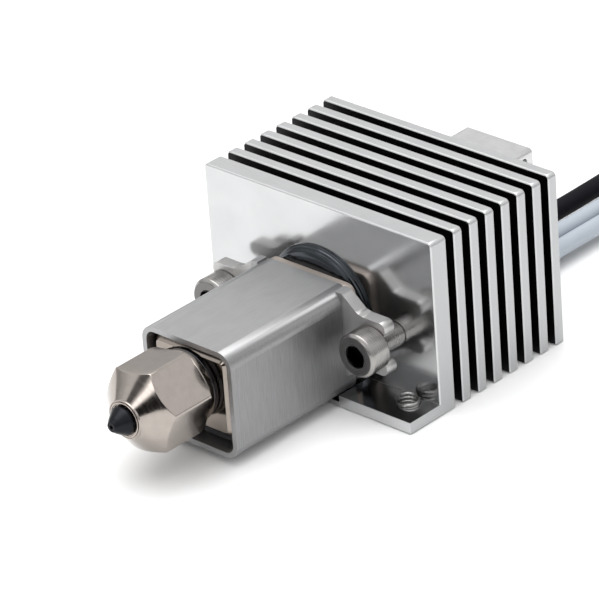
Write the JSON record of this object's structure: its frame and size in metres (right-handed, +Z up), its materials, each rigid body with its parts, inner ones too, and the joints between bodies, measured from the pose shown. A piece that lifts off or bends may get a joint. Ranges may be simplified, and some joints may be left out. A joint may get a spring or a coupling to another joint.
{
  "type": "3d printer hotend assembly",
  "caption": "Hotend with a hex nozzle, a covered heater block held by forked ears, a finned heatsink on an L foot and short plugged leads.",
  "frame": {"origin": "midway between the two thread inserts of the foot, on the face that is bolted down", "axes": "+Z up from the mounting face, the nozzle points along -Y, +X to the right seen from the nozzle's side"},
  "size_m": [0.029, 0.1168, 0.0182],
  "materials": {
    "sink_aluminium": "machined, bright edges, polished front face, dark slot walls",
    "insert_steel": "bright wound wire",
    "block_aluminium": "satin",
    "liner_white": "translucent white",
    "heat_break_metal": "turned",
    "collar_dark": "dark, glossy, turned",
    "block_nickel": "nickel plated",
    "cover_steel": "fine brushed",
    "heater_ceramic": "matte ceramic",
    "sensor_metal": "satin",
    "nozzle_nickel": "polished nickel plating",
    "tip_black": "satin black hardened",
    "washer_dark": "turned",
    "screw_steel": "stainless",
    "screw_black": "black oxide",
    "lead_glass_fibre": "smooth braided sleeve",
    "lead_black": "matte",
    "plug_white": "moulded",
    "plug_black": "moulded",
    "contact_tin": "tin plated"
  },
  "bodies": {
    "root": {"heatsink": "sink_aluminium", "foot_insert_left": "insert_steel", "foot_insert_right": "insert_steel", "inlet_block": "block_aluminium", "inlet_liner": "liner_white", "heat_break": "heat_break_metal", "neck_collar": "collar_dark", "heater_block": "block_nickel", "block_cover": "cover_steel", "ceramic_heater": "heater_ceramic", "thermistor": "sensor_metal", "heater_lead_inner": "lead_glass_fibre", "thermistor_lead_inner": "lead_black", "heater_lead_a": "lead_glass_fibre", "heater_lead_b": "lead_glass_fibre", "thermistor_lead": "lead_black", "heater_plug": "plug_white", "thermistor_plug": "plug_black", "heater_contacts": "contact_tin", "thermistor_contacts": "contact_tin"},
    "nozzle_washer": {"nozzle_washer": "washer_dark"},
    "nozzle": {"nozzle_body": "nozzle_nickel", "nozzle_tip": "tip_black"},
    "support_screw_left": {"support_screw_left": "screw_steel"},
    "support_screw_right": {"support_screw_right": "screw_steel"},
    "inlet_set_screw": {"inlet_set_screw": "screw_black"},
    "inlet_block_screw": {"inlet_block_screw": "screw_steel"}
  },
  "joints": [
    {"name": "nozzle_travel", "type": "slide", "parent": "root", "child": "nozzle_washer", "axis": [0, -1, 0], "range_m": [0, 0.008]},
    {"name": "nozzle_turn", "type": "hinge", "parent": "nozzle_washer", "child": "nozzle", "pos_m": [0, -0.0186, 0.0073], "axis": [0, -1, 0], "range_deg": [0, 2881]},
    {"name": "screw_left_turn", "type": "hinge", "parent": "root", "child": "support_screw_left", "pos_m": [-0.0094, -0.0026, 0.0073], "axis": [0, -1, 0], "range_deg": [0, 360]},
    {"name": "screw_right_turn", "type": "hinge", "parent": "root", "child": "support_screw_right", "pos_m": [0.0094, -0.0026, 0.0073], "axis": [0, -1, 0], "range_deg": [0, 360]},
    {"name": "set_screw_turn", "type": "hinge", "parent": "root", "child": "inlet_set_screw", "pos_m": [0.003, 0.02621, 0.0073], "axis": [1, 0, 0], "range_deg": [0, 360]},
    {"name": "inlet_screw_turn", "type": "hinge", "parent": "root", "child": "inlet_block_screw", "pos_m": [0, 0.0234, 0.01175], "axis": [0, 1, 0], "range_deg": [0, 360]}
  ],
  "couplings": [
    {"joint": "nozzle_turn", "follows": "nozzle_travel", "rad_per_m": 6283.2}
  ]
}
